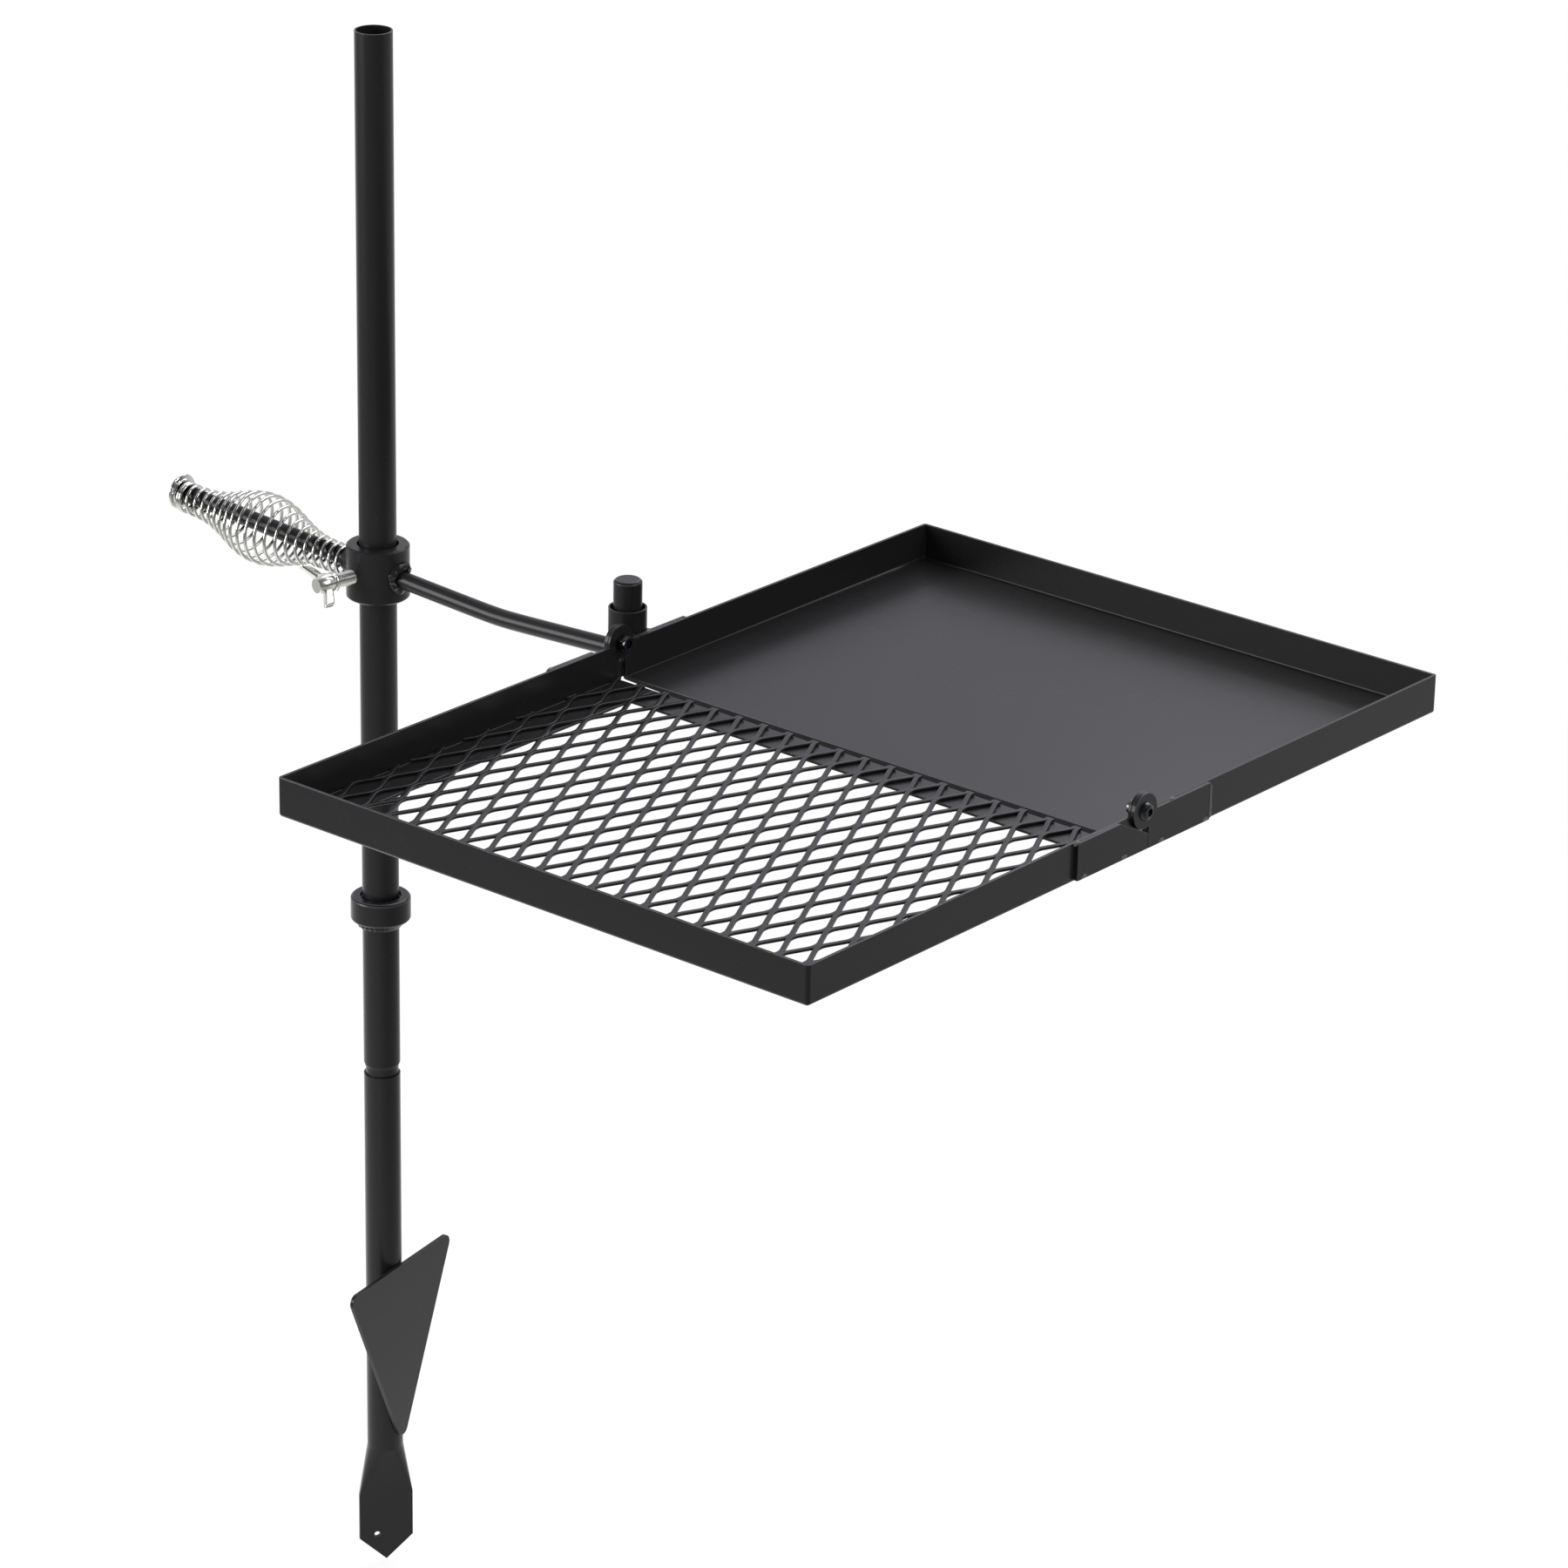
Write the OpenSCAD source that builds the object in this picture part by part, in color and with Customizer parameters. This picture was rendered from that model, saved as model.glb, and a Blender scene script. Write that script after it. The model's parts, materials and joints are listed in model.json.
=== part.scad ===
// Swing arm campfire grill: a two-piece stake post, a clamped swing arm with a
// coil-spring handle, and a folding tray of a mesh grate half and a griddle half.
// Millimetres. Origin on the post axis at the ground line, +Z up, +X out along
// the arm, +Y along the tray toward the griddle half.

/* [Post] */
// Outside diameter of the post and stake tubes
tube_d = 25.4; // [24:0.1:27]
// Wall thickness of the tubes
tube_wall = 1.2; // [1:0.1:1.8]
// Height of the socket mouth above the ground
socket_h = 140; // [110:1:180]
// Length of the upper post above the socket mouth
post_h = 744; // [640:1:850]
// Length of the swaged end inside the socket
plug_len = 60; // [40:1:90]
// Length of swaged neck left showing above the mouth
neck_show = 4.7; // [2:0.1:8]

/* [Stake] */
// Depth of the tip below the ground
stake_depth = 244; // [200:1:300]
// Width of the flattened blade
blade_w = 38.6; // [32:0.1:40]
// Length of the parallel part of the blade
blade_len = 35; // [25:1:45]
// Length of the point below the blade
point_len = 18; // [12:1:26]
// Length over which the round tube is pressed flat
press_len = 40; // [30:1:55]
// Width of the fin plate
fin_w = 122; // [90:1:150]
// Height of the fin plate
fin_h = 134; // [100:1:140]
// Thickness of the fin plate
fin_t = 3; // [2:0.5:5]
// Turn of the stake in the ground, degrees
stake_turn = 10; // [0:1:90]

/* [Collar] */
// Outside diameter of the swing collar
collar_d = 43; // [40:0.5:48]
// Bore of the swing collar
collar_bore = 28.4; // [27.6:0.1:29.4]
// Height of the swing collar
collar_h = 37.5; // [30:0.5:46]
// Height of the collar's lower face above the ground
collar_z = 492.5; // [420:0.5:640]
// Height of the arm's axis above the collar's lower face
rod_up = 18; // [14:0.5:22]
// Outside diameter of the stop ring
ring_d = 41.5; // [36:0.5:46]
// Height of the stop ring
ring_h = 18; // [12:0.5:24]
// Height of the ring's lower face above the ground
ring_z = 256; // [200:1:360]

/* [Arm and handle] */
// Diameter of the arm and handle rods
rod_d = 12; // [10:0.5:14]
// Distance from the post axis to the pivot pin axis
arm_reach = 224; // [190:1:280]
// Depth of the shallow bend at the middle of the arm
arm_dip = 6; // [2:0.5:10]
// Diameter of the pivot pin
pin_d = 19; // [17:0.5:20]
// Height of the pin above the sleeve
pin_show = 19; // [12:0.5:28]
// Height of the sleeve above the tray's rim
sleeve_show = 14; // [10:0.5:20]
// Distance from the post axis to the end of the handle
handle_reach = 188; // [150:1:220]
// Upward slope of the handle, degrees
handle_rise = 3.5; // [0:0.5:12]
// Diameter of the flange at the handle's end
flange_d = 25; // [20.5:0.5:28]

/* [Handle spring] */
// Wire diameter of the handle spring
spring_wire = 2.3; // [1.6:0.1:2.6]
// Outside diameter of the spring at its middle
spring_mid_d = 48; // [36:0.5:52]
// Number of curls of the spring
spring_turns = 21; // [14:1:22]
// Share by which the curls crowd together toward the outer end
spring_crowd = 0.19; // [0:0.01:0.25]

/* [Wing screw] */
// Thread diameter of the wing screw
screw_d = 10; // [8:0.5:12]
// Distance from the post axis to the end of the screw's hub
screw_reach = 51; // [46:0.5:60]
// Span of the wings
wing_span = 36; // [28:0.5:42]
// Turn of the screw round the post from straight sideways, degrees
screw_turn = 10; // [0:1:30]

/* [Tray] */
// Depth of the tray, out along the arm
tray_depth = 422; // [340:1:460]
// Length of each tray half
half_len = 313; // [260:1:340]
// Height of the tray walls
wall_h = 26; // [22:0.5:32]
// Height of the tray's rim above the arm's axis
rim_up = 17; // [16.5:0.5:20]
// Thickness of the tray sheet
sheet_t = 2; // [1.5:0.1:2.5]
// Width of the flanges that carry the mesh
flange_w = 32; // [24:0.5:38]
// Width of the flat bar at the fold
fold_bar_w = 23.5; // [18:0.5:32]
// Distance from the pin to the fold line
pin_to_fold = 26; // [25:0.5:32]
// Depth of the stiffening lip under the griddle's edge at the fold
lip_h = 8; // [5:0.5:12]
// Distance from that lip to the grate's sheet and bar
lip_gap = 6; // [4:0.5:10]

/* [Mesh] */
// Long way of one mesh opening
mesh_long = 44.5; // [40:0.5:50]
// Short way of one mesh opening
mesh_short = 20.8; // [20.4:0.1:24]
// Width of the mesh strands
strand_w = 3; // [2.2:0.1:3.6]
// Thickness of the mesh
mesh_t = 2; // [1.5:0.1:2.5]

/* [Fold hinge] */
// Diameter of the hinge bolts
bolt_d = 6; // [5:0.5:7]
// Radius of the hinge ears
ear_r = 11.5; // [10.5:0.1:12]
// Length of each hinge bracket from the fold line
bracket_len = 66; // [50:1:90]
// Thickness of the hinge brackets
bracket_t = 3; // [2.5:0.1:4]

/* [Hidden] */
$fn = 44;
// gap left between welded or seated faces
seat = 0.05;
// radial play of a turning pin in its hole
play = 0.06;
// gap between hinge leaves that pass each other
leaf_gap = 0.5;
// how far one welded form runs into the next within a piece
lap = 0.25;
// how far a cutting shape runs past what it cuts
over = 1;
tube_r = tube_d / 2;
bore_r = tube_r - tube_wall;
plug_play = 0.08;
plug_r = bore_r - plug_play;
post_top = socket_h + post_h;
swage_len = 4;
tip_z = -stake_depth;
point_z = tip_z + point_len;
blade_z = point_z + blade_len;
press_z = blade_z + press_len;
blade_slack = 0.4;
blade_t = 2 * tube_wall + blade_slack;
fin_top = -6;
fin_r = 6;
rod_r = rod_d / 2;
collar_r = collar_d / 2;
rod_z = collar_z + rod_up;
pin_r = pin_d / 2;
arm_mid = arm_reach / 2;
dip_angle = atan(arm_dip / arm_mid);
weld_len = 6;
// the sleeve rests just above the rod, and its side just off the back bracket
sleeve_lift = 0.2;
sleeve_side = 0.3;
sleeve_z = rod_z + rod_r / cos(dip_angle) - tan(dip_angle) * bore_r + sleeve_lift;
wall_top = rod_z + rim_up;
sleeve_top = wall_top + sleeve_show;
pin_top = sleeve_top + pin_show;
tray_x = arm_reach + tube_r + sleeve_side + bracket_t;
tray_far = tray_x + tray_depth;
floor_z = wall_top - wall_h;
fold_y = -pin_to_fold;
axis_up = 1;
axis_z = wall_top + axis_up;
// the leaves part a little to the griddle side of the fold axis
part_off = 4;
part_y = fold_y + part_off;
grate_y = part_y - leaf_gap;
// the grate's walls, flange, flat bar and mesh stand back from the fold
bar_y = part_y - lip_gap;
grate_end = fold_y - half_len;
griddle_end = fold_y + half_len;
bolt_r = bolt_d / 2;
nut_gap = 0.3;
nut_h = bolt_d;
// the brackets stand a little above the underside of the walls
bracket_up = 1.5;
// the flange sits just inside the handle's end
flange_t = 3;
flange_in = 0.5;
flange_back = handle_reach - flange_in - flange_t;
spring_rings = 8;
spring_start = collar_r + weld_len + seat;
spring_end = flange_back - 2 * seat;
// the smallest curls clear the rod also between the corners of their path
coil_clear = 0.35;
coil_end_r = (rod_r + coil_clear + spring_wire / 2) / cos(180 / spring_rings);
coil_mid_r = (spring_mid_d - spring_wire) / 2;

black = "#232324";
chrome = "#c9cdd2";
zinc = "#b9bec4";

// lower tube: open socket at the top, pressed flat into a pointed blade below
module stake_tube() {
    closed_h = 3;
    hole_d = 4.2;
    hole_side = 6.6;
    hole_up = 2.5;
    band = 1;
    color(black) rotate([0, 0, stake_turn]) {
        difference() {
            translate([0, 0, press_z]) cylinder(r = tube_r, h = socket_h - press_z);
            translate([0, 0, press_z + closed_h]) cylinder(r = bore_r, h = socket_h - press_z);
        }
        rotate([0, 0, -45]) {
            hull() {
                translate([0, 0, press_z + band]) cylinder(r = tube_r - lap, h = band);
                translate([-blade_t / 2, -blade_w / 2, blade_z - band]) cube([blade_t, blade_w, band]);
            }
            difference() {
                translate([-blade_t / 2, 0, 0]) rotate([90, 0, 90]) linear_extrude(blade_t)
                    polygon([[-blade_w / 2, blade_z - band / 2], [-blade_w / 2, point_z], [0, tip_z],
                        [blade_w / 2, point_z], [blade_w / 2, blade_z - band / 2]]);
                translate([-blade_t, -hole_side, point_z + hole_up]) rotate([0, 90, 0])
                    cylinder(d = hole_d, h = 2 * blade_t);
            }
        }
    }
}

// anti-turn fin: a rounded triangular plate welded along the side of the stake
module stake_fin() {
    bead_r = 2.2;
    bead_side = 6.35;
    bead_len = 70;
    bead_drop = 10;
    color(black) rotate([0, 0, stake_turn]) difference() {
        union() {
            translate([tube_r - lap, 0, 0]) rotate([90, 0, 90]) linear_extrude(fin_t) hull() {
                translate([-fin_w / 2 + fin_r, fin_top - fin_r]) circle(fin_r);
                translate([fin_w / 2 - fin_r, fin_top - fin_r]) circle(fin_r);
                translate([0, fin_top - fin_h + fin_r]) circle(fin_r);
            }
            for (s = [-1, 1])
                translate([tube_r - bead_r, s * bead_side, fin_top - bead_drop - bead_len])
                    cylinder(r = bead_r, h = bead_len);
        }
        translate([0, 0, tip_z]) cylinder(r = tube_r + seat, h = socket_h - tip_z);
    }
}

// upper tube: open top, swaged lower end that turns in the socket
module upper_post() {
    neck_z = socket_h + neck_show;
    color(black) rotate_extrude() polygon([
        [plug_r - tube_wall, socket_h - plug_len], [plug_r, socket_h - plug_len],
        [plug_r, neck_z], [tube_r, neck_z + swage_len], [tube_r, post_top],
        [bore_r, post_top], [bore_r, neck_z + swage_len], [plug_r - tube_wall, neck_z]]);
}

// ring welded to the post under the collar's travel
module stop_ring() {
    ring_r = ring_d / 2;
    c = 1.5;
    weld_h = 5;
    weld_foot = tube_r + 4.5;
    weld_edge = tube_r + 1.5;
    recess_r = tube_r + 1.4;
    recess_z = ring_h - 3;
    color(black) translate([0, 0, ring_z]) rotate_extrude() polygon([
        [tube_r + seat, -weld_h], [weld_edge, -weld_h], [weld_foot, 0], [ring_r - c, 0],
        [ring_r, c], [ring_r, ring_h - c], [ring_r - c, ring_h], [recess_r, ring_h],
        [recess_r, recess_z], [tube_r + seat, recess_z]]);
}

// loose sleeve that carries the arm and slides and swings on the post
module swing_collar() {
    c = 1.2;
    color(black) difference() {
        translate([0, 0, collar_z]) rotate_extrude() polygon([
            [collar_bore / 2, 0], [collar_r - c, 0], [collar_r, c], [collar_r, collar_h - c],
            [collar_r - c, collar_h], [collar_bore / 2, collar_h]]);
        rotate([0, 0, -screw_turn]) translate([0, 0, rod_z]) rotate([90, 0, 0])
            cylinder(r = screw_d / 2 + play, h = collar_r + over);
    }
}

// half of the arm: a rod cut square to the arm's run at its shallow bend
module arm_half(slope) {
    intersection() {
        translate([0, 0, rod_z]) rotate([0, 90 + slope, 0]) cylinder(r = rod_r, h = arm_reach);
        translate([0, -rod_d, rod_z - 3 * rod_d]) cube([arm_mid, 2 * rod_d, 6 * rod_d]);
    }
}

// arm rod with a shallow dip, welded to the collar and to the pivot pin
module arm_rod() {
    weld_foot = rod_r + 5;
    weld_edge = rod_r + 0.4;
    weld_in = 3;
    color(black) difference() {
        union() {
            arm_half(dip_angle);
            translate([arm_reach, 0, 0]) mirror([1, 0, 0]) arm_half(dip_angle);
            translate([0, 0, rod_z]) rotate([0, 90 + dip_angle, 0])
                translate([0, 0, collar_r - weld_in])
                    cylinder(r1 = weld_foot, r2 = weld_edge, h = weld_in + weld_len);
        }
        translate([0, 0, collar_z - over]) cylinder(r = collar_r + seat, h = collar_h + 2 * over);
        translate([arm_reach, 0, collar_z - over]) cylinder(r = pin_r + seat, h = pin_top - collar_z);
    }
}

// upright pin that the tray's sleeve drops over
module pivot_pin() {
    c = 1.6;
    pin_z = rod_z - 9;
    pin_h = pin_top - pin_z;
    color(black) translate([arm_reach, 0, pin_z]) rotate_extrude() polygon([
        [0, 0], [pin_r - c, 0], [pin_r, c], [pin_r, pin_h - c], [pin_r - c, pin_h], [0, pin_h]]);
}

// moves its children onto the handle's axis, z along the handle from the post
module on_handle() {
    translate([0, 0, rod_z]) rotate([0, -90 + handle_rise, 0]) children();
}

// handle core rod with its weld neck at the collar
module handle_rod() {
    weld_in = collar_r - 4;
    weld_out = collar_r + weld_len;
    weld_foot = rod_r + 4;
    weld_edge = rod_r + 2.2;
    c = 1;
    color(black) difference() {
        on_handle() rotate_extrude() polygon([
            [0, weld_in], [weld_foot, weld_in], [weld_edge, weld_out], [rod_r, weld_out],
            [rod_r, handle_reach - c], [rod_r - c, handle_reach], [0, handle_reach]]);
        translate([0, 0, collar_z - over]) cylinder(r = collar_r + seat, h = collar_h + 2 * over);
    }
}

// chrome flange closing the outer end of the handle
module handle_flange() {
    flange_r = flange_d / 2;
    seat_r = flange_r - 3;
    rim_low = 1.2;
    c = 0.6;
    color(chrome) on_handle() translate([0, 0, flange_back]) rotate_extrude() polygon([
        [rod_r + seat, 0], [seat_r, 0], [flange_r, rim_low], [flange_r, flange_t - c],
        [flange_r - c, flange_t], [rod_r + seat, flange_t]]);
}

// barrel coil round the handle, one tube of six-sided rings
spring_steps = spring_turns * spring_rings;
spring_a = spring_start + spring_wire;
spring_b = spring_end - spring_wire;
function coil_r(u) = coil_end_r + (coil_mid_r - coil_end_r) * pow(sin(180 * u), 2);
function coil_u(s) = s * (1 + spring_crowd - spring_crowd * s);
function coil_p(k) = let (u = coil_u(k / spring_steps), a = 360 * k / spring_rings)
    [coil_r(u) * cos(a), coil_r(u) * sin(a), spring_a + (spring_b - spring_a) * u];
spring_path = concat([[coil_end_r, 0, spring_start]], [for (k = [0:spring_steps]) coil_p(k)],
    [[coil_end_r, 0, spring_end]]);
spring_n = len(spring_path);
function unit(v) = v / norm(v);
function spring_t(i) = i == 0 || i == spring_n - 1 ? [0, 0, 1]
    : unit(unit(spring_path[i + 1] - spring_path[i]) + unit(spring_path[i] - spring_path[i - 1]));
function spring_ring(i) = let (p = spring_path[i], t = spring_t(i), q = unit([p[0], p[1], 0]),
        n = unit(q - (q * t) * t), b = cross(t, n))
    [for (j = [0:5]) p + spring_wire / 2 * (cos(60 * j) * n + sin(60 * j) * b)];
spring_points = [for (i = [0:spring_n - 1]) each spring_ring(i)];
spring_faces = concat(
    [for (i = [0:spring_n - 2]) for (j = [0:5]) let (a = 6 * i + j, b = 6 * i + (j + 1) % 6)
        each [[a, a + 6, b], [b, a + 6, b + 6]]],
    [for (j = [1:4]) [0, j, j + 1]],
    [for (j = [1:4]) let (e = 6 * (spring_n - 1)) [e, e + j + 1, e + j]]);
// least gap between one curl and the next, measured on the path points
spring_gap = min([for (i = [0:spring_n - 7]) for (k = [i + 6:min(i + 12, spring_n - 1)])
    norm(spring_path[i] - spring_path[k])]) - spring_wire;
echo(spring_gap = spring_gap);

module handle_spring() {
    color(chrome) on_handle() polyhedron(points = spring_points, faces = spring_faces);
}

// plated screw that clamps the collar: shank, flange, hub and two raked wings
module wing_screw() {
    screw_r = screw_d / 2;
    tip = tube_r + seat;
    tip_c = 1;
    hub_h = 13;
    hub_z = screw_reach - hub_h;
    hub_r = screw_r + 1.4;
    skirt_r = screw_r + 3.2;
    skirt_t = 2;
    skirt_c = 0.7;
    wing_t = 4.4;
    wing_r = wing_span / 2;
    wing_turn = 144;
    wing_tip_r = 4;
    wing_root_r = 3;
    wing_root_low = 4;
    wing_root_high = 8;
    wing_rise = 10;
    color(zinc) rotate([0, 0, -screw_turn]) translate([0, 0, rod_z]) rotate([90, 0, 0])
        rotate([0, 0, wing_turn]) {
            rotate_extrude() polygon([
                [0, tip], [screw_r - tip_c, tip], [screw_r, tip + tip_c], [screw_r, hub_z - skirt_t],
                [skirt_r, hub_z - skirt_t + skirt_c], [skirt_r, hub_z], [hub_r, hub_z + skirt_c],
                [hub_r, screw_reach - tip_c], [screw_r, screw_reach], [0, screw_reach]]);
            for (s = [0, 180]) rotate([0, 0, s]) translate([0, wing_t / 2, hub_z]) rotate([90, 0, 0])
                linear_extrude(wing_t) hull() {
                    translate([wing_root_r, wing_root_low]) circle(wing_root_r);
                    translate([wing_r - wing_tip_r, wing_rise]) circle(wing_tip_r);
                    translate([wing_root_r, wing_root_high]) circle(wing_root_r);
                }
        }
}

// solid half of the tray: a floor with three walls, its edge at the fold bent down into a
// lip that tapers away at both walls
module griddle_pan() {
    inner_x = tray_x + sheet_t;
    inner_w = tray_depth - 2 * sheet_t;
    lip_taper = 50;
    color(black) {
        difference() {
            translate([tray_x, part_y, floor_z])
                cube([tray_depth, griddle_end - part_y, wall_h]);
            translate([inner_x, part_y - over, floor_z + sheet_t])
                cube([inner_w, griddle_end - part_y - sheet_t + over, wall_h]);
            translate([tray_x - over, fold_y, axis_z]) rotate([0, 90, 0])
                cylinder(r = ear_r + leaf_gap, h = tray_depth + 2 * over);
        }
        translate([inner_x, part_y + sheet_t, floor_z]) rotate([90, 0, 0]) linear_extrude(sheet_t)
            polygon([[0, sheet_t / 2], [0, 0], [lip_taper, sheet_t - lip_h],
                [inner_w - lip_taper, sheet_t - lip_h], [inner_w, 0], [inner_w, sheet_t / 2]]);
    }
}

// plate on the outside of a griddle wall, with the outer hinge ear
module griddle_bracket() {
    color(black) difference() {
        union() {
            translate([tray_x - bracket_t, part_y, floor_z + bracket_up])
                cube([bracket_t - seat, bracket_len + fold_y - part_y, wall_h - bracket_up]);
            translate([tray_x - bracket_t, fold_y, axis_z]) rotate([0, 90, 0])
                cylinder(r = ear_r, h = bracket_t - seat);
        }
        translate([tray_x - 2 * bracket_t, fold_y, axis_z]) rotate([0, 90, 0])
            cylinder(r = bolt_r + play, h = 3 * bracket_t);
    }
}

// the far side of the tray mirrors the near side
module far_side() {
    translate([tray_x + tray_far, 0, 0]) mirror([1, 0, 0]) children();
}

module griddle_bracket_back() {
    griddle_bracket();
}

module griddle_bracket_front() {
    far_side() griddle_bracket();
}

// short tube on the back bracket that drops over the pivot pin
module pivot_sleeve() {
    bead_r = 1.9;
    bead_side = 7.8;
    bead_up = 0.5;
    color(black) difference() {
        union() {
            translate([arm_reach, 0, sleeve_z]) cylinder(r = tube_r, h = sleeve_top - sleeve_z);
            for (s = [-1, 1])
                translate([tray_x - bracket_t - bead_r - seat, s * bead_side, sleeve_z + bead_up])
                    cylinder(r = bead_r, h = wall_top - sleeve_z - 3 * bead_up);
        }
        translate([arm_reach, 0, sleeve_z - over])
            cylinder(r = bore_r, h = sleeve_top - sleeve_z + 2 * over);
    }
}

// button-headed hinge bolt, head outside
module hinge_bolt() {
    head_r = bolt_d;
    head_h = 3.3;
    crown_r = head_r * 0.5;
    shoulder_r = head_r * 0.82;
    shoulder_h = 2.3;
    edge_h = 0.5;
    hex_d = bolt_d * 0.9;
    hex_h = 2;
    end_c = 0.5;
    end_in = 1;
    seat_x = tray_x - bracket_t - seat;
    end_x = tray_x + sheet_t + nut_gap + nut_h - end_in;
    color(black) translate([0, fold_y, axis_z]) rotate([0, 90, 0]) difference() {
        rotate_extrude() polygon([
            [0, seat_x - head_h], [crown_r, seat_x - head_h], [shoulder_r, seat_x - shoulder_h],
            [head_r, seat_x - edge_h], [head_r, seat_x], [bolt_r, seat_x],
            [bolt_r, end_x - end_c], [bolt_r - end_c, end_x], [0, end_x]]);
        translate([0, 0, seat_x - head_h - over]) cylinder(d = hex_d, h = hex_h + over, $fn = 6);
    }
}

module hinge_bolt_back() {
    hinge_bolt();
}

module hinge_bolt_front() {
    far_side() hinge_bolt();
}

// lock nut on the inside of the hinge
module hinge_nut() {
    hex_d = bolt_d * 1.92;
    hex_h = bolt_d * 0.7;
    lock_d = bolt_d * 1.55;
    x_face = tray_x + sheet_t + nut_gap;
    color(black) translate([x_face, fold_y, axis_z]) rotate([0, 90, 0]) difference() {
        union() {
            cylinder(d = hex_d, h = hex_h, $fn = 6);
            cylinder(d = lock_d, h = nut_h);
        }
        translate([0, 0, -over]) cylinder(r = bolt_r + seat, h = nut_h + 2 * over);
    }
}

module hinge_nut_back() {
    hinge_nut();
}

module hinge_nut_front() {
    far_side() hinge_nut();
}

// angle rail along one side of the grate, its wall ending in the inner hinge ear
module grate_rail() {
    rail_y = grate_end + sheet_t + seat;
    color(black) difference() {
        union() {
            translate([tray_x, rail_y, floor_z]) cube([sheet_t, bar_y - rail_y, wall_h]);
            translate([tray_x, rail_y, floor_z]) cube([flange_w, bar_y - rail_y, sheet_t]);
            translate([tray_x, fold_y, axis_z]) rotate([0, 90, 0]) cylinder(r = ear_r, h = sheet_t);
        }
        translate([tray_x - over, fold_y, axis_z]) rotate([0, 90, 0])
            cylinder(r = bolt_r + play, h = sheet_t + 2 * over);
    }
}

module grate_back_rail() {
    grate_rail();
}

module grate_front_rail() {
    far_side() grate_rail();
}

// angle rail across the outer end of the grate
module grate_end_rail() {
    inset = flange_w + seat;
    color(black) {
        translate([tray_x, grate_end, floor_z]) cube([tray_depth, sheet_t, wall_h]);
        translate([tray_x + inset, grate_end, floor_z])
            cube([tray_depth - 2 * inset, flange_w, sheet_t]);
    }
}

// flat bar across the grate at the fold
module grate_fold_bar() {
    inset = flange_w + seat;
    color(black) translate([tray_x + inset, bar_y - fold_bar_w, floor_z])
        cube([tray_depth - 2 * inset, fold_bar_w, sheet_t]);
}

// one diamond opening of the mesh, or the half of it above its middle
module mesh_gap(a, b, whole) {
    polygon(whole ? [[0, a], [-b, 0], [0, -a], [b, 0]] : [[0, a], [-b, 0], [b, 0]]);
}

// expanded mesh lying on the rails and the fold bar
module grate_mesh() {
    edge = 0.4;
    mesh_w = tray_depth - 2 * (sheet_t + edge);
    mesh_l = bar_y - grate_end - sheet_t - 2 * edge;
    rows = round((mesh_w - 2 * strand_w) / mesh_short);
    cols = round((mesh_l - 2 * strand_w) / mesh_long);
    dx = (mesh_w - 2 * strand_w) / rows;
    dy = (mesh_l - 2 * strand_w) / cols;
    lean = atan(dx / dy);
    a = dy / 2 - strand_w / 2 / sin(lean);
    b = dx / 2 - strand_w / 2 / cos(lean);
    color(black) translate([tray_x + sheet_t + edge, grate_end + sheet_t + edge, floor_z + sheet_t + seat])
        linear_extrude(mesh_t) difference() {
            square([mesh_w, mesh_l]);
            for (i = [0:rows - 1]) for (j = [0:cols - 1])
                translate([strand_w + (i + 0.5) * dx, strand_w + (j + 0.5) * dy]) mesh_gap(a, b, true);
            for (i = [1:rows - 1]) {
                for (j = [1:cols - 1])
                    translate([strand_w + i * dx, strand_w + j * dy]) mesh_gap(a, b, true);
                translate([strand_w + i * dx, strand_w]) mesh_gap(a, b, false);
                translate([strand_w + i * dx, mesh_l - strand_w]) mirror([0, 1]) mesh_gap(a, b, false);
            }
        }
}

// plate on the outside of a grate rail, cut at a slant to clear the outer ear
module grate_bracket() {
    start_y = fold_y - bracket_len;
    slant = 27;
    color(black) difference() {
        translate([tray_x - bracket_t, start_y, floor_z + bracket_up])
            cube([bracket_t - seat, grate_y - start_y, wall_h - bracket_up]);
        translate([tray_x - 2 * bracket_t, fold_y, axis_z]) rotate([-slant, 0, 0])
            translate([0, -bracket_len, -ear_r - leaf_gap])
                cube([3 * bracket_t, 2 * bracket_len, 2 * wall_h]);
    }
}

module grate_bracket_back() {
    grate_bracket();
}

module grate_bracket_front() {
    far_side() grate_bracket();
}

stake_tube();
stake_fin();
upper_post();
stop_ring();
swing_collar();
arm_rod();
pivot_pin();
handle_rod();
handle_spring();
handle_flange();
wing_screw();
griddle_pan();
griddle_bracket_back();
griddle_bracket_front();
pivot_sleeve();
hinge_bolt_back();
hinge_bolt_front();
hinge_nut_back();
hinge_nut_front();
grate_back_rail();
grate_front_rail();
grate_end_rail();
grate_fold_bar();
grate_mesh();
grate_bracket_back();
grate_bracket_front();
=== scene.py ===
import json
import math

import bmesh
import bpy
from mathutils import Matrix, Vector, noise


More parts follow.
